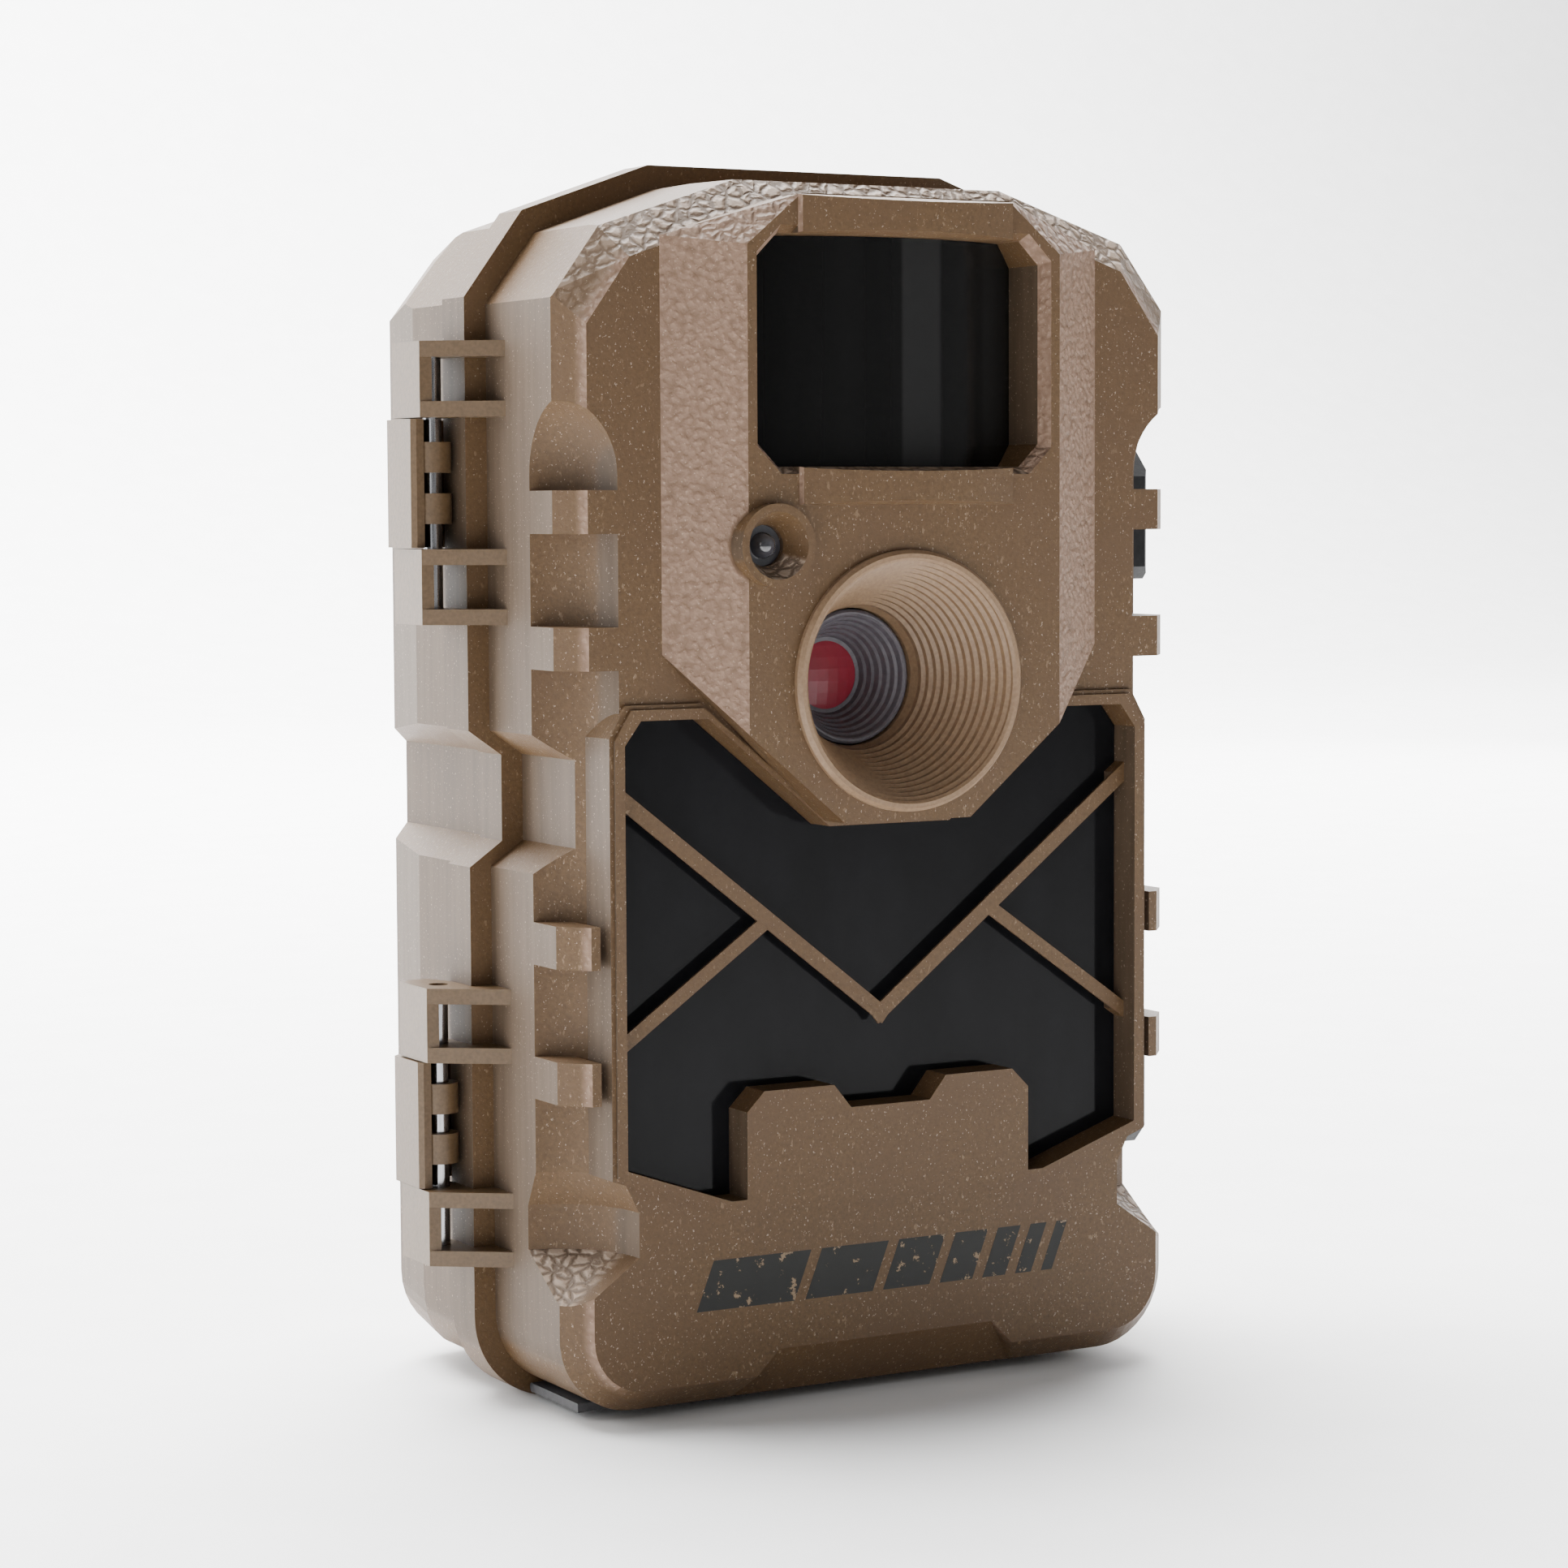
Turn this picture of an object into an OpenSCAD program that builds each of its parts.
// Compact trail camera: a hinged two-part case. The front half carries the lens, the motion
// sensor, the infrared lamp, the control panel and the battery box; the rear half is a hollow
// cover with the strap ribs and the tripod socket.
//
// Modules work in case coordinates: X to the latch side, Z up, and Y = 0 on the front face of
// the case flange, negative towards the lens. The last lines move everything back by socket_y,
// so that the origin is the mouth of the tripod socket.

/* [Case] */
// Height of the case over its flange
case_h = 140; // [140:0.5:146]
// Width of the case over its flange
flange_w = 85.2; // [85.2:0.2:88]
// Thickness of the flange, front to back
flange_t = 5.8; // [5.6:0.1:6]
// Distance the flange stands out from the side walls
flange_lip = 2.6; // [2.4:0.1:2.8]
// Thickness of the case walls
wall = 2.1; // [1.8:0.1:2.2]
// Depth of the plain front face ahead of the flange
face_d = 19.6; // [19.4:0.1:19.8]
// Depth of the raised centre shield ahead of the flange
shield_d = 24.5; // [24.3:0.1:24.7]
// Depth of the rear half behind the flange front
rear_d = 34; // [34:0.5:38]
// Distance the strap ribs stand out behind the rear half
rib_d = 8.5; // [8:0.5:10]

/* [Lens] */
// Height of the lens axis
lens_z = 81.8; // [81.6:0.1:82]
// Radius of the lens hood rim
hood_r = 14.6; // [14.4:0.1:14.8]
// Steps turned into the hood's cone
hood_steps = 13; // [8:1:16]
// Radius of the lens barrel
barrel_r = 7.7; // [7.6:0.1:7.8]
// Radius of the front lens glass
glass_r = 3.95; // [3.8:0.05:4.2]

/* [Motion window] */
// Width of the motion window
pir_w = 36.6; // [36:0.2:37]
// Height of the motion window
pir_h = 25.4; // [25:0.2:26]
// Height of the window's centre
pir_z = 118.3; // [118:0.1:118.6]
// Radius of the window's curve
pir_r = 33; // [32:1:36]

/* [Lamp] */
// Half width of the black lamp window
lamp_x = 33.5; // [33.3:0.1:33.7]
// Rows of infrared lamps
led_rows = 3; // [2:1:3]
// Pitch of the infrared lamps
led_pitch = 7.4; // [7:0.1:7.6]

/* [Hinges] */
// Distance of the hinge pin axis from the case centre
pin_x = 45; // [44.9:0.1:45.2]
// Distance of the hinge pin axis behind the flange front
pin_y = 3.6; // [3.4:0.1:3.8]
// Radius of the hinge pins
pin_r = 1.05; // [1:0.05:1.2]
// Heights of the hinge centres
hinge_zs = [104, 32];
// Height of one hinge
hinge_h = 31.4; // [31:0.2:32]

/* [Latches] */
// Heights of the latch centres
latch_zs = [100, 30];
// Height of a latch
latch_h = 16; // [14:0.5:17]

/* [Hidden] */
$fn = 64;
eps = 0.01;
gap = 0.3;
socket_y = 20;
half_w = flange_w / 2;
body_x = half_w - flange_lip;
waist_in = 4;
top_lip = 2.8;
chamfer = 3.3;
seam_y = flange_t + gap;
inner_x = body_x - wall;
panel_back = 14.4;
lamp_front = 16.4;
inner_face = 16.4;
channel_r = 8.7;
channel_x = body_x + 2.4;
channel_y = -face_d + 0.4;
rib_zs = [98.4, 83.6, 51.1, 36.2];
rib_h = 4.7;
arm_t = 1.75;
cup_h = 8.4;
loop_x = 47.8;
loop_y = 8.8;
loop_t = 1.3;
relief_r = 6;
knuckle_r = 2.1;
side_x = half_w - 1.5;
latch_pin_x = 45.4;
latch_pin_y = 12;
latch_pin_r = 1;
box_x = 31.4;
box_top = 66.8;
box_bottom = 10.2;
control_bottom = 67.4;
control_top = 126;
box_wall = 1.2;
box_front = -5.2;
box_back = 27.5;
board_y = 2.4;
board_t = 1.6;
board_back = board_y + board_t;
panel_y = 9;
panel_t = 1.6;
cover_t = 1.6;
cover_y = flange_t - cover_t;
jack = [-24, -10];
flap_x = -36;
flap_y = -1;
flap_z = 1.4;
flap_w = 23;
hood_seat_r = 14;
cell_r = 7.15;
cell_l = 50.5;
cell_pitch = 15.1;
cell_xs = [for (i = [-1.5:1:1.5]) i * cell_pitch];
cell_ys = [box_front + 1.5 + cell_r + 0.3, box_back - cell_r - 1.2];
pad = [18, 113.9];
pad_pitch = 6.8;
button_spots = [pad + [0, pad_pitch], pad - [0, pad_pitch], pad - [pad_pitch, 0], pad + [pad_pitch, 0],
    pad];
card_z = 78.2;
cover_screw_spots = [for (x = [-34.2, 34.2], z = [14, 50, 118]) [x, z]];
board_screw_spots = [for (x = [-27.5, 27.5], z = [71, 122]) [x, z]];
sensor_ring = [-17.3, 97];
brown = "#7d6650";
grey_brown = "#8a7763";
black = "#1d1d1f";

// Places a node in the final frame.
module placed() {
    translate([0, -socket_y, 0]) children();
}

// Extrudes an outline drawn in X and Z from depth y0 to depth y1.
module slab(y0, y1) {
    translate([0, y1, 0])
        rotate([90, 0, 0])
            linear_extrude(height = y1 - y0) children();
}

// A bar with its lower corner at p and size s.
module bar(p, s) {
    translate(p) cube(s);
}

// A cylinder along Y, from depth y0 to y1, at height z.
module rod_y(r, y0, y1, x, z) {
    translate([x, y1, z])
        rotate([90, 0, 0])
            cylinder(r = r, h = y1 - y0);
}

// Keeps a shape and its mirror image.
module both_sides() {
    children();
    mirror([1, 0, 0]) children();
}

// Closed outline from the right-hand points of a symmetrical shape, top first.
function symmetric(pts) = concat(pts, [for (i = [len(pts) - 1:-1:0]) [-pts[i][0], pts[i][1]]]);

// Right-hand points of the case outline, set in from the flange edge.
function case_points(inset, top, low) = [
    [19.5 - inset * 0.2, case_h - top],
    [35.4 - inset * 0.55, case_h - 5.6 - top * 0.9],
    [half_w - inset, case_h - 15.4 - inset * 0.3],
    [half_w - inset, 76.4],
    [half_w - inset - waist_in, 73.6],
    [half_w - inset - waist_in, 63.9],
    [half_w - inset, 61.1],
    [half_w - inset, low]
];

// Case outline in X and Z with rounded lower corners of radius r.
module case_outline(inset, top, low, r) {
    difference() {
        polygon(symmetric(case_points(inset, top, low)));
        for (side = [-1, 1])
            difference() {
                translate([side * (half_w - inset - r / 2 + 0.5), low + r / 2 - 0.5])
                    square(r + 1, center = true);
                translate([side * (half_w - inset - r), low + r]) circle(r = r);
            }
    }
}

// Outline of the front body, behind its face chamfer.
module body_outline() {
    case_outline(flange_lip, top_lip, 1.4, 9);
}

// Convex envelope that gives the front body its bevelled edges and falling top.
module front_envelope() {
    hull() {
        slab(-0.1, 0) envelope_outline(1, case_h - 1.6);
        slab(-16.3, -16.2) envelope_outline(0.1, case_h - top_lip + 0.1);
        slab(-face_d, -face_d + eps) envelope_outline(-chamfer + 0.6, case_h - top_lip - chamfer);
    }
}

// Points of a rounded lower corner of radius r about c, from the side to the bottom.
function low_corner(c, r) = [for (a = [0:-10:-90]) c + r * [cos(a), sin(a)]];

module envelope_outline(grow, top) {
    polygon(symmetric(concat([
        [17 + grow * 0.5, top],
        [34.2 + grow * 0.8, top - 5.7],
        [body_x + grow, top - 13]
    ], low_corner([body_x - 9, 10.4], 9 + grow))));
}

// Raised shield between the lamp window and the top of the case, bevelled round the window.
module shield() {
    bevel = 0.8;
    difference() {
        hull() {
            slab(-face_d, -face_d + eps)
                polygon(symmetric([[15, case_h - 5.2], [28.4, case_h - 9.4], [28.4, 85.2], [8.5, 66.2]]));
            slab(-shield_d, -shield_d + eps) polygon(symmetric([[13.4, case_h - 4.7],
                [20.25, case_h - 10.4], [20.25, 76.4], [8.2, 66.2]]));
        }
        hull() {
            slab(-shield_d - bevel, -shield_d) window_opening(pir_w + 2 * bevel, pir_h + 2 * bevel, 3);
            slab(-shield_d + bevel, -shield_d + 2 * bevel) window_opening(pir_w, pir_h, 2.6);
        }
    }
}

// Outer edge of the raised rim round the lamp window.
module rim_outline(grow) {
    polygon(symmetric([
        [7.9 + grow * 0.4, 65.6 + grow],
        [23.2 + grow * 0.4, 78.1 + grow],
        [31.5 + grow, 78.1 + grow],
        [lamp_x + grow, 75.4 + grow * 0.5],
        [lamp_x + grow, 28.9 - grow * 0.6],
        [20.6, 24.4 - grow]
    ]));
}

// Black part of the lamp window, with the tab below it cut away.
module lamp_outline(inset) {
    difference() {
        rim_outline(-inset);
        translate([0, -inset]) tab_outline(inset);
    }
}

// Brown tab that stands up into the lower edge of the lamp window.
module tab_outline(grow) {
    polygon(symmetric([
        [5.2 - grow * 0.6, 33.7 + grow],
        [7.4 - grow * 0.6, 36.4 + grow],
        [16.4 + grow * 0.5, 36.4 + grow],
        [18.6 + grow, 34.2 + grow * 0.5],
        [18.6 + grow, 20]
    ]));
}

// Straight bar of width w between two points of the lamp window.
module strut(a, b, w) {
    d = b - a;
    translate(a)
        rotate(atan2(d[1], d[0]))
            translate([-1, -w / 2]) square([norm(d) + 2, w]);
}

// Crossing bars over the lamp window.
module lamp_struts() {
    intersection() {
        union()
            for (side = [-1, 1]) {
                strut([side * (lamp_x + 1), 70.8], [0, 43.9], 1.8);
                strut([side * (lamp_x + 1), 41.2], [side * 15, 54.9], 1.6);
            }
        rim_outline(0.8);
    }
}

// Scooped channel down the front corner of the body, between heights z0 and z1.
module channel(z0, z1, r) {
    translate([channel_x, channel_y, z0]) cylinder(r = r, h = z1 - z0);
}

// All the scoops on one side, broken by the four ribs.
module channels() {
    difference() {
        union() {
            translate([channel_x, channel_y, 104.8]) sphere(r = channel_r);
            channel(28, 104.8, channel_r);
            translate([channel_x, channel_y, 24]) cylinder(r1 = 10.7, r2 = channel_r, h = 4 + eps);
            channel(19, 24 + eps, 10.7);
            translate([channel_x, channel_y, 13.6]) cylinder(r1 = 3, r2 = 10.7, h = 5.4 + eps);
        }
        for (z = rib_zs) bar([z < 60 ? 36.2 : body_x - 12, -face_d - 12, z], [12, 30, rib_h]);
    }
}

// Raised rim round the lamp window, deep enough to stand out of the channels.
module lamp_rim() {
    slab(-face_d - 0.5, -13.5) rim_outline(1.7);
    slab(-face_d - 0.9, -face_d) rim_outline(1.2);
}

// Curved opening for the motion window, open to the front.
module window_opening(w, h, c) {
    polygon([
        [-w / 2 + c, pir_z - h / 2], [w / 2 - c, pir_z - h / 2], [w / 2, pir_z - h / 2 + c],
        [w / 2, pir_z + h / 2 - c], [w / 2 - c, pir_z + h / 2], [-w / 2 + c, pir_z + h / 2],
        [-w / 2, pir_z + h / 2 - c], [-w / 2, pir_z - h / 2 + c]
    ]);
}

// Brow above and lip below the motion window.
module window_lips() {
    lip_h = 4.2;
    intersection() {
        translate([0, 60 - shield_d - 2.1, 0]) cylinder(r = 60, h = case_h, $fn = 128);
        for (side = [-1, 1])
            translate([0, 0, pir_z + side * (pir_h + lip_h) / 2]) hull() {
                bar([-13.9, -shield_d, -lip_h / 2], [27.8, 1.5, lip_h]);
                bar([-12.7, -shield_d - 2.2, -lip_h / 2 + 0.5], [25.4, 1, lip_h - 1]);
            }
    }
}

// Hinge loop on the front half: two arms joined outside the pin, with its lower face at z.
module hinge_loop(z) {
    for (dz = [0, cup_h - arm_t])
        translate([0, 0, z + dz])
            linear_extrude(height = arm_t)
                difference() {
                    polygon([
                        [-loop_x, 0.6], [-body_x, -5], [-body_x, 0], [-half_w, 0], [-half_w, 5.2],
                        [-pin_x + 1, loop_y], [-loop_x + 0.8, loop_y], [-loop_x, loop_y - 0.8]
                    ]);
                    translate([-pin_x, pin_y]) circle(r = pin_r + 0.05);
                }
    translate([0, 0, z]) linear_extrude(height = cup_h) polygon([
        [-loop_x, 0.6], [-loop_x + loop_t, 0.2], [-loop_x + loop_t, loop_y],
        [-loop_x + 0.8, loop_y], [-loop_x, loop_y - 0.8]
    ]);
}

// Where a hinge's two loops start: above and below its centre block.
function loop_zs(z) = [z + hinge_h / 2 - cup_h, z - hinge_h / 2];

// Wedge that makes the bevel under the front face taller in the middle.
module chin_wedge() {
    hull() {
        slab(-face_d - 0.2, -face_d - 0.1)
            polygon([[-18.5, 2.6], [-14, 7.1], [14, 7.1], [18.5, 2.6], [18.5, -1], [-18.5, -1]]);
        slab(-16.3, -16.2) polygon([[-18.5, 1.4], [18.5, 1.4], [18.5, -1], [-18.5, -1]]);
    }
}

module front_shell() {
    color(brown) placed() difference() {
        union() {
            difference() {
                union() {
                    slab(0, flange_t) case_outline(0, 0, 0, 10);
                    intersection() {
                        slab(-face_d - 1, 0.5) body_outline();
                        front_envelope();
                    }
                    shield();
                }
                both_sides() channels();
            }
            lamp_rim();
            window_lips();
            rod_y(4.6, -shield_d - 1.5, -15, sensor_ring[0], sensor_ring[1]);
            slab(-18.3, -lamp_front) lamp_struts();
        }
        // hollow behind the front wall
        difference() {
            slab(-inner_face, flange_t + 1) case_outline(flange_lip + wall, top_lip + wall, 3.6, 7);
            both_sides() {
                translate([channel_x, channel_y, -1]) cylinder(r = channel_r + 1.9, h = case_h + 2);
                translate([channel_x, channel_y, -1]) cylinder(r = 12.4, h = 30);
            }
            // seat ring of the lamp window
            slab(-inner_face - 1, -12.8) difference() {
                rim_outline(1.2);
                lamp_outline(1.5);
            }
            // screw bosses for the inner cover
            for (s = cover_screw_spots) rod_y(2.6, -15, cover_y - 0.05, s[0], s[1]);
            rod_y(4.9, -20, -13.5, sensor_ring[0], sensor_ring[1]);
        }
        for (s = cover_screw_spots) rod_y(1.2, -6, flange_t, s[0], s[1]);
        chin_wedge();
        // lamp window opening down to its seat, leaving the struts
        difference() {
            slab(-face_d - 2, -panel_back) lamp_outline(0);
            slab(-18.3, -lamp_front) lamp_struts();
        }
        slab(-18, -12.5) lamp_outline(1.5 + eps);
        // inside of the shield
        difference() {
            slab(-shield_d + 2, -inner_face + 1)
                polygon(symmetric([[12, case_h - 7.4], [18.2, case_h - 12.6], [18.2, 84], [14, 79]]));
            rod_y(hood_seat_r + 1.6, -30, 0, 0, lens_z);
            slab(-shield_d, 0) window_opening(pir_w + 4, pir_h + 4, 3.5);
            rod_y(4.9, -30, 0, sensor_ring[0], sensor_ring[1]);
        }
        // lens hood seat
        rod_y(hood_seat_r, -shield_d - 1, -9, 0, lens_z);
        // motion window
        slab(-shield_d - 3, -15.5) window_opening(pir_w, pir_h, 2.6);
        // light sensor cone and bore
        translate([sensor_ring[0], -shield_d - 1.5 - eps, sensor_ring[1]])
            rotate([-90, 0, 0]) cylinder(r1 = 3.7, r2 = 2.3, h = 3.2);
        rod_y(2.3, -shield_d, -13, sensor_ring[0], sensor_ring[1]);
        // power jack hole in the floor
        translate([jack[0], jack[1], 0]) cylinder(r = 3, h = 6);
        // seat of the rubber flap
        bar([flap_x - 0.4, -13.1, -1], [flap_w + 0.8, 13.1, flap_z + 1.9]);
    }
}

// Rear half outline at the seam.
module rear_outline(inset) {
    case_outline(1.5 + inset, 1.5 + inset, 1.5 + inset, 9);
}

// Envelope that tapers the rear half and bevels its back.
module rear_envelope(inset) {
    back = rear_d - inset;
    hull() {
        slab(seam_y - 1, seam_y - 0.9) envelope_outline(3 - inset, case_h + 1.5 - inset);
        slab(27.4, 27.5) envelope_outline(-0.5 - inset, case_h - 3.8 - inset);
        slab(back - 0.1, back) rear_back_outline(inset);
    }
}

module rear_back_outline(inset) {
    polygon(symmetric(concat([[14, 127 - inset], [27, 123 - inset], [32 - inset, 116]],
        low_corner([25, 15.5], 7 - inset))));
}

// Strap rib with its strap slot and its lobe for a lock cable.
module strap_rib(x) {
    difference() {
        union() {
            bar([x - 2.5, rear_d, 28], [5, rib_d - 1, 84]);
            bar([x - 2.5, rear_d, 52], [5, rib_d, 62]);
            translate([x - 2.5, rear_d + 5.4, 100]) rotate([0, 90, 0]) cylinder(r = 6, h = 5);
        }
        bar([x - 4, rear_d - 1, 93], [8, 1, 14]);
        bar([x - 4, rear_d + 1.2, 58], [8, 4.6, 28]);
        translate([x - 4, rear_d + 5.4, 100]) rotate([0, 90, 0]) cylinder(r = 4, h = 8);
        for (z = [30:4:50]) translate([x, rear_d + rib_d - 1, z]) rotate([45, 0, 0])
            cube([8, 2, 2], center = true);
    }
}

module strap_ribs() {
    color(grey_brown) placed() for (x = [-24, 24]) strap_rib(x);
}

module hinge_arms() {
    color(brown) placed() for (z = hinge_zs, loop_z = loop_zs(z)) hinge_loop(loop_z);
}

// Hinge block on the rear half: a side plate and a back round two knuckles.
module hinge_block(z) {
    h = hinge_h - 2 * cup_h - 0.3;
    difference() {
        union() {
            translate([0, 0, z - h / 2]) linear_extrude(height = h) polygon([
                [-loop_x - 0.3, 2.6], [-loop_x + 0.2, 2.1], [-loop_x + 1.1, 2.1], [-loop_x + 1.1, 8.2],
                [-side_x, 8.2], [-side_x, 9.8], [-loop_x + 0.5, 9.8], [-loop_x - 0.3, 9]
            ]);
            for (dz = [-4.5, 1.2])
                translate([-pin_x, pin_y, z + dz]) cylinder(r = knuckle_r, h = 3.4);
        }
        translate([-pin_x, pin_y, z - 8]) cylinder(r = pin_r, h = 16);
    }
}

module hinge_blocks() {
    color(grey_brown) placed() for (z = hinge_zs) hinge_block(z);
}

// Ear that holds one end of a latch pin, 2 mm thick, from height z.
module latch_ear(z) {
    translate([0, 0, z]) difference() {
        union() {
            translate([latch_pin_x, latch_pin_y, 0]) cylinder(r = 2.6, h = 2);
            bar([side_x, latch_pin_y - 2.6, 0], [latch_pin_x - side_x, 5.2, 2]);
        }
        translate([latch_pin_x, latch_pin_y, -1]) cylinder(r = latch_pin_r, h = 4);
    }
}

module latch_ears() {
    color(grey_brown) placed() for (z = latch_zs, dz = [-latch_h / 2 - 2.3, latch_h / 2 + 0.3])
        latch_ear(z + dz);
}

module rear_shell() {
    color(grey_brown) placed() difference() {
        union() {
            intersection() {
                slab(seam_y, rear_d) rear_outline(0);
                rear_envelope(0);
            }
            // tripod boss and rear feet
            bar([-12, socket_y - 8, 0], [24, 15, 9.6]);
        }
        difference() {
            intersection() {
                slab(seam_y - 1, rear_d - wall) rear_outline(wall);
                rear_envelope(wall);
            }
            // thick land that carries the gasket
            slab(seam_y - 2, seam_y + 2.6) difference() {
                rear_outline(-1);
                rear_outline(4.4);
            }
            bar([-12, socket_y - 8, -1], [24, 15, 10.6]);
            // pockets' backs behind the hinge loops
            for (z = hinge_zs) bar([-body_x - 2, seam_y - 1, z - hinge_h / 2 - 2], [5.6, 9, hinge_h + 4]);
        }
        // groove for the gasket
        slab(seam_y - 1, seam_y + 1.6) difference() {
            rear_outline(1.7);
            rear_outline(3.5);
        }
        // clearance for the turning hinge loops
        for (z = hinge_zs, loop_z = loop_zs(z))
            translate([-pin_x, pin_y, loop_z - 0.15]) cylinder(r = relief_r, h = cup_h + 0.3);
        // tripod insert seat
        translate([0, socket_y, -1]) cylinder(r = 4.5, h = 10);
    }
}

module seal_gasket() {
    color("#2b2b2d") placed() slab(flange_t + 0.06, seam_y + 1.55) difference() {
        rear_outline(1.75);
        rear_outline(3.45);
    }
}

module hinge_pins() {
    color("silver") placed() for (z = hinge_zs)
        translate([-pin_x, pin_y, z - hinge_h / 2 + 0.4]) cylinder(r = pin_r, h = hinge_h - 0.8);
}

// Snap latch: a plate on a barrel, with a lip that hooks over the front of the flange.
module latch(z, slope) {
    h = latch_h - 0.4;
    difference() {
        union() {
            translate([0, 0, z - h / 2]) linear_extrude(height = h) polygon([
                [latch_pin_x - 1.6, latch_pin_y + 1.5], [half_w + 0.6, latch_pin_y - 3],
                [half_w + 0.6, -0.5], [half_w - 1.6, -0.5], [half_w - 1.9, -2.4],
                [47.6, -2.4], [48.3, -1.6], [48.5, 4], [47.8, latch_pin_y + 1.5]
            ]);
            translate([latch_pin_x, latch_pin_y, z - h / 2]) cylinder(r = 2.5, h = h);
        }
        translate([latch_pin_x, latch_pin_y, z - h]) cylinder(r = latch_pin_r + 0.06, h = 2 * h);
        // grip grooves
        for (y = [0:1.8:7.2]) translate([48.7, y, z]) cube([1, 0.7, h - 4], center = true);
        for (end = [-1, 1]) translate([48, -2.4, z + end * (h / 2 + (end == slope ? 0.5 : 2))])
            rotate([45, 0, 0]) cube([20, 5, 5], center = true);
    }
}

module upper_latch() {
    color(black) placed() latch(latch_zs[0], 1);
}

module lower_latch() {
    color(black) placed() latch(latch_zs[1], -1);
}

module latch_pins() {
    color("silver") placed() for (z = latch_zs)
        translate([latch_pin_x, latch_pin_y, z - latch_h / 2 - 2.2])
            cylinder(r = latch_pin_r, h = latch_h + 4.4);
}

module led_window() {
    color(black) placed() slab(-lamp_front + 0.02, -panel_back - 0.02) lamp_outline(0.1);
}

module pir_window() {
    color(black) placed() intersection() {
        difference() {
            translate([0, pir_r - 22.5, 0]) cylinder(r = pir_r, h = case_h, $fn = 128);
            translate([0, pir_r - 22.5, -1]) cylinder(r = pir_r - 1.2, h = case_h + 2, $fn = 128);
        }
        slab(-25, -15.6) window_opening(pir_w - 0.1, pir_h - 0.1, 2.6);
    }
}

// Ring and stepped cone round the lens, turned about the lens axis.
module lens_hood() {
    depth = 12.8;
    mouth = 13.4;
    throat = 7.9;
    front = shield_d + 1.1;
    step_y = depth / hood_steps;
    step_r = (mouth - throat) / hood_steps;
    inner = [for (i = [0:hood_steps - 1], k = [0, 1])
        [mouth - i * step_r, -front + (i + k * 0.7) * step_y + (i + k == 0 ? 0.3 : 0)]];
    rim = [[hood_r, -shield_d], [hood_r, -front + 0.5], [hood_r - 0.4, -front], [mouth + 0.3, -front]];
    seat = hood_seat_r - 0.1;
    tail = [[throat, -12.1], [throat, -9.4], [9.6, -9.4], [9.6, -13], [seat, -19.2], [seat, -shield_d]];
    color(brown) placed() translate([0, 0, lens_z])
        rotate([-90, 0, 0]) rotate_extrude($fn = 96) polygon(concat(rim, inner, tail));
}

module lens_barrel() {
    steps = 6;
    inner = [for (i = [0:steps - 1], k = [0, 1])
        [7 - i * 0.48 - k * 0.2, -12 + i * 0.95 + 0.2 + k * 0.7]];
    tail = [[glass_r, -6.3], [glass_r, -4.9], [3.4, -4.9], [3.4, -4.3], [3.8, -4.3], [3.8, -2.3],
        [barrel_r, -2.3], [barrel_r, -11.7], [barrel_r - 0.3, -12]];
    color(black) placed() translate([0, 0, lens_z])
        rotate([-90, 0, 0]) rotate_extrude() polygon(concat([[7.2, -12]], inner, tail));
}

module lens_glass() {
    dome_r = 14;
    color("crimson") placed() intersection() {
        translate([0, dome_r - 6.8, lens_z]) sphere(r = dome_r);
        rod_y(glass_r, -8, -4.92, 0, lens_z);
    }
}

module light_sensor() {
    color("#404044") placed() {
        rod_y(2.25, -22.2, -13.2, sensor_ring[0], sensor_ring[1]);
        translate([sensor_ring[0], -22.2, sensor_ring[1]]) sphere(r = 1.5);
    }
}

// Rubber strip under the lower left corner, with a plug for the power jack.
module port_flap() {
    color("#3a3a3c") placed() {
        bar([flap_x, -12.7, flap_z - 0.5], [flap_w, 12.7 + flap_y, 1]);
        translate([flap_x, flap_y, flap_z]) rotate([0, 90, 0]) cylinder(r = 0.55, h = flap_w);
        translate([jack[0], jack[1], flap_z + 0.4]) cylinder(r = 2.6, h = 1.3);
    }
}

module dc_jack() {
    color(black) placed() difference() {
        bar([jack[0] - 4.5, jack[1] - 4.5, 3.7], [9, 9, 11]);
        translate([jack[0], jack[1], 3]) cylinder(r = 3.2, h = 9.5);
    }
    color("silver") placed() translate([jack[0], jack[1], 5]) cylinder(r = 1, h = 7.6);
}

module lens_holder() {
    color(black) placed() difference() {
        bar([-9, -2.28, lens_z - 9], [18, board_y + 2.26, 18]);
        rod_y(4.2, -3, board_y - 1.3, 0, lens_z);
        bar([-7, board_y - 1.35, lens_z - 5.5], [14, 2, 11]);
        bar([-10, -0.95, lens_z - 5.2], [20, 1.3, 10.4]);
    }
}

module rear_lens() {
    color("lightcyan") placed() intersection() {
        translate([0, 6.6, lens_z]) sphere(r = 10.7);
        rod_y(3.75, -5, -2.35, 0, lens_z);
    }
}

// Infrared-cut filter in its sliding frame.
module filter_frame() {
    color("#9fd3d8") placed() bar([-5, -0.75, lens_z - 4.9], [12.4, 0.9, 9.8]);
}

module filter_coil() {
    color("#b0652f") placed() translate([-11.2, -0.3, lens_z - 4]) cylinder(r = 1.9, h = 8);
}

module image_sensor() {
    color("#2c3438") placed() bar([-4, board_y - 1.1, lens_z - 3.5], [8, 1.08, 7]);
}

module main_board() {
    color("darkgreen") placed() slab(board_y, board_back) difference() {
        polygon(symmetric([[22, 127.5], [31, 125], [31, control_bottom]]));
        for (s = board_screw_spots) translate(s) circle(r = 1.3);
    }
}

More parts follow.
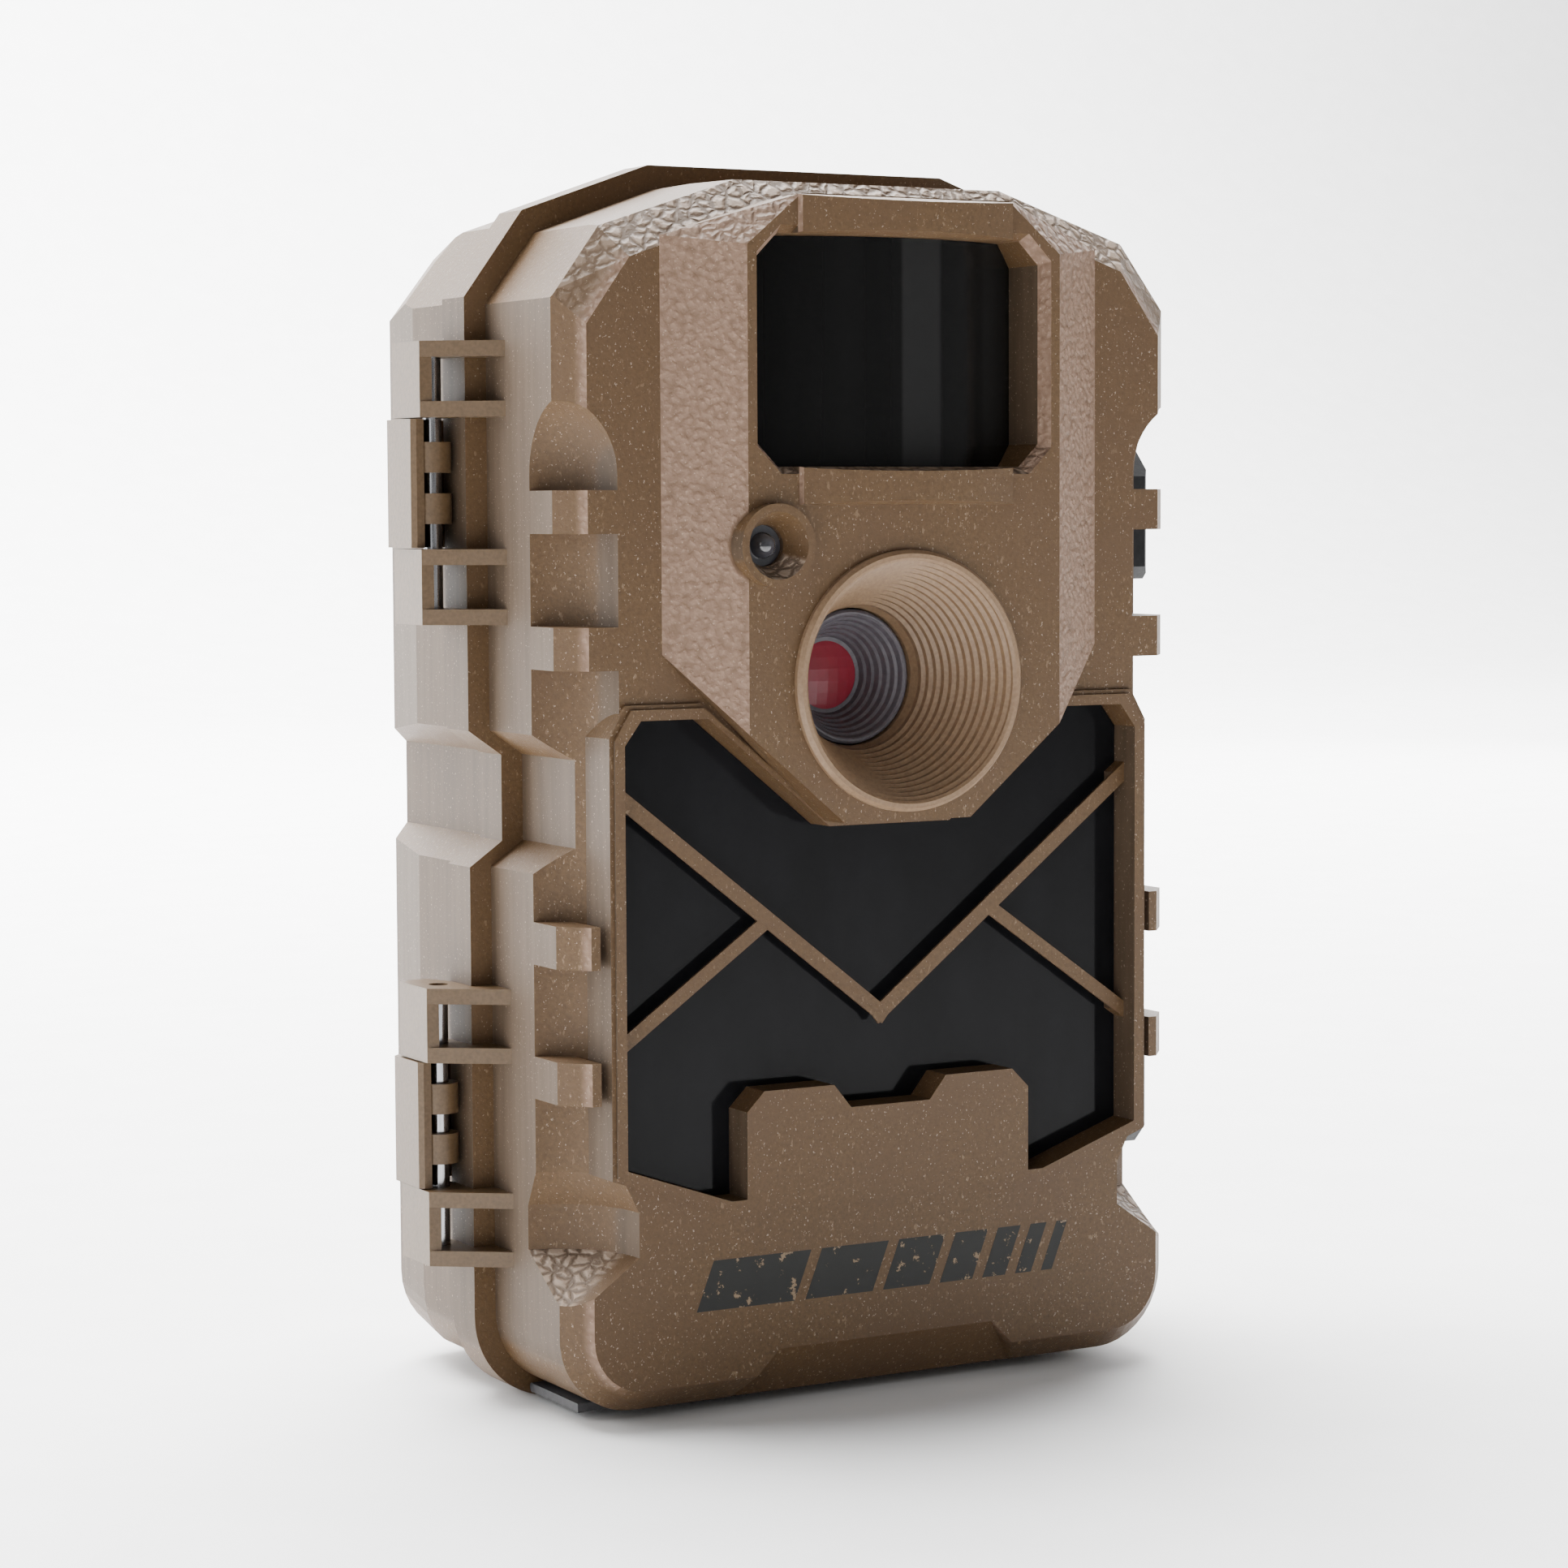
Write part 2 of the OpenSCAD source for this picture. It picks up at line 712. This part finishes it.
module board_chips() {
    color(black) placed() {
        bar([-24, board_y - 1.3, 102], [13, 1.28, 13]);
        bar([-6, board_y - 1.1, 104], [10, 1.08, 12]);
        bar([10, board_y - 1, 106], [9, 0.98, 6]);
        for (x = [12:5:27]) rod_y(2, board_y - 5, board_y - 0.02, x, 93);
    }
}

module tact_switches() {
    color("silver") placed() for (s = button_spots)
        bar([s[0] - 3, board_back + 0.02, s[1] - 3], [6, 2.78, 6]);
}

module switch_body() {
    color("silver") placed() difference() {
        bar([-28.5, board_back + 0.02, 84], [13, 3, 6]);
        bar([-27, board_back + 1.2, 85.2], [10, 4, 3.6]);
    }
}

module sd_socket() {
    color("silver") placed() difference() {
        bar([0, board_back + 0.02, card_z - 1.2], [28, 4.6, 26.2]);
        bar([-2, board_back + 1.9, card_z - 0.2], [34, 2.35, 24.4]);
    }
}

module usb_port() {
    color("silver") placed() difference() {
        bar([-29.5, board_back + 0.02, 74], [8.5, 6.2, 4]);
        bar([-28.9, board_back + 1.2, 74.6], [7.3, 8, 2.8]);
    }
}

module led_board() {
    color("darkgreen") placed() slab(-9.6, -8) difference() {
        polygon(symmetric([[9, 62], [24, 74], [31, 74], [31, 31], [18, 27]]));
        for (x = [-29, 29]) translate([x, 34]) circle(r = 1.2);
    }
}

// Lamp positions: rows that stay clear of the lens and the tab.
function led_spots() = [for (row = [0:led_rows - 1], col = [-4:4])
    if (abs(col * 6.7) + row * 4 < 30) [col * 6.7, 58 - row * led_pitch]];

module ir_leds() {
    color("#d8d8e0") placed() for (s = led_spots()) {
        rod_y(1.9, -12.2, -9.62, s[0], s[1]);
        translate([s[0], -12.2, s[1]]) sphere(r = 1.9, $fn = 24);
    }
}

module pir_sensor() {
    color("silver") placed() {
        rod_y(4.1, -7.4, -3.62, 0, pir_z);
        rod_y(4.6, -4.4, -3.62, 0, pir_z);
    }
}

module pir_board() {
    color("darkgreen") placed() bar([-13, -3.6, pir_z - 7], [26, 1.6, 14]);
}

module inner_cover() {
    panel_back_y = panel_y + panel_t;
    color("#2a2a2c") placed() difference() {
        union() {
            slab(cover_y, flange_t)
                case_outline(flange_lip + wall + 0.2, top_lip + wall + 0.2, 3.8, 7);
            bar([-box_x, cover_y, control_bottom],
                [2 * box_x, panel_back_y - cover_y, control_top - control_bottom]);
            bar([-box_x, box_front, box_bottom], [2 * box_x, box_back - box_front, box_top - box_bottom]);
        }
        // control box hollow with its window and slots
        bar([-box_x + 1.5, 0, control_bottom + 0.6],
            [2 * box_x - 3, panel_y, control_top - control_bottom - 2.1]);
        bar([-27, panel_y - 1, 99], [24.5, 5, 21]);
        for (s = button_spots) rod_y(2.9, panel_y - 1, panel_y + 4, s[0], s[1]);
        bar([-27.4, panel_y - 1, 85.2], [10.8, 5, 3.6]);
        bar([-29.7, panel_y - 1, 73.8], [8.9, 5, 4.4]);
        bar([29, board_back + 1.9, card_z - 0.3], [4, 2.35, 24.6]);
        translate([box_x + 3.5, panel_back_y, card_z + 12]) rotate([90, 0, 0]) cylinder(r = 7, h = 6);
        // battery box hollow, open to the back
        bar([-box_x + box_wall, box_front + box_wall, box_bottom + box_wall],
            [2 * (box_x - box_wall), box_back - box_front, box_top - box_bottom - 2 * box_wall]);
        // corner that swings past the rear half's waist
        difference() {
            bar([20, panel_back_y, 59.5], [box_x, box_back, 10]);
            translate([-pin_x, pin_y, 0]) cylinder(r = 77.2, h = case_h, $fn = 180);
        }
        for (s = cover_screw_spots) rod_y(1.3, cover_y - 1, flange_t + 1, s[0], s[1]);
    }
}

module lcd_display() {
    color("#6f7f6a") placed() bar([-28.5, panel_y - 2.6, 97.8], [27.5, 2.5, 23.6]);
}

// Menu button with a flange behind the panel.
module button(i) {
    s = button_spots[i];
    rod_y(2.7, panel_y - 0.4, panel_y + panel_t + 1.2, s[0], s[1]);
    rod_y(3.2, panel_y - 1.3, panel_y - 0.4, s[0], s[1]);
}

module button_up() {
    color("#505055") placed() button(0);
}

module button_down() {
    color("#505055") placed() button(1);
}

module button_left() {
    color("#505055") placed() button(2);
}

module button_right() {
    color("#505055") placed() button(3);
}

module button_ok() {
    color("#8a1f1f") placed() button(4);
}

module power_switch() {
    color("#c9c9cc") placed() bar([-23.6, board_back + 1.4, 85.5], [3.2, 6.4, 3]);
}

module sd_card() {
    color("#22304a") placed() difference() {
        bar([-0.6, board_back + 2.1, card_z], [31.2, 2, 24]);
        translate([-0.6, 0, card_z + 24]) rotate([0, 45, 0]) cube([6, 30, 6], center = true);
    }
}

module aa_cells() {
    color("#b5893a") placed() for (x = cell_xs, y = cell_ys) translate([x, y, box_bottom + 1.8]) {
        cylinder(r = cell_r, h = cell_l - 1);
        translate([0, 0, cell_l - 1]) cylinder(r = 2.7, h = 1);
    }
}

module battery_springs() {
    color("silver") placed() for (x = cell_xs, y = cell_ys, i = [0:2])
        translate([x, y, box_top - 3.7 + i * 0.9])
            rotate_extrude($fn = 24) translate([2 + i * 0.7, 0]) circle(r = 0.3, $fn = 16);
}

module battery_contacts() {
    color("silver") placed() for (x = cell_xs, y = cell_ys) {
        bar([x - 5, y - 5, box_top - 1.55], [10, 10, 0.3]);
        bar([x - 5, y - 5, box_bottom + 1.25], [10, 10, 0.5]);
    }
}

// Threaded brass insert for a 1/4 inch tripod screw, open to the base.
module tripod_insert() {
    color("gold") placed() translate([0, socket_y, 0]) difference() {
        cylinder(r = 4.45, h = 8.6);
        translate([0, 0, -1]) cylinder(r = 2.55, h = 8.6);
    }
}

// Pan-head screw that points to the lens, with its head at depth y.
module screw(x, z, y, length) {
    rod_y(1.15, y - length, y, x, z);
    difference() {
        rod_y(2.1, y, y + 1.3, x, z);
        bar([x - 0.3, y + 0.7, z - 1.4], [0.6, 1, 2.8]);
        bar([x - 1.4, y + 0.7, z - 0.3], [2.8, 1, 0.6]);
    }
}

module cover_screws() {
    color("silver") placed() for (s = cover_screw_spots) screw(s[0], s[1], flange_t, 8);
}

module board_screws() {
    color("silver") placed() for (s = board_screw_spots) screw(s[0], s[1], board_back, 1.6);
}

// Flat cable from the lamp board up to the main board.
module ribbon_cable() {
    color("#d9d4c4") placed() {
        bar([18, -7.98, 62], [8, 0.3, 8.3]);
        bar([18, -7.98, 70], [8, board_y + 7.94, 0.3]);
    }
}

front_shell();
rear_shell();
strap_ribs();
hinge_arms();
hinge_blocks();
latch_ears();
seal_gasket();
hinge_pins();
upper_latch();
lower_latch();
latch_pins();
led_window();
pir_window();
lens_hood();
lens_barrel();
lens_glass();
light_sensor();
port_flap();
dc_jack();
lens_holder();
rear_lens();
filter_frame();
filter_coil();
image_sensor();
main_board();
board_chips();
tact_switches();
switch_body();
sd_socket();
usb_port();
led_board();
ir_leds();
pir_sensor();
pir_board();
inner_cover();
lcd_display();
button_up();
button_down();
button_left();
button_right();
button_ok();
power_switch();
sd_card();
aa_cells();
battery_springs();
battery_contacts();
tripod_insert();
cover_screws();
board_screws();
ribbon_cable();
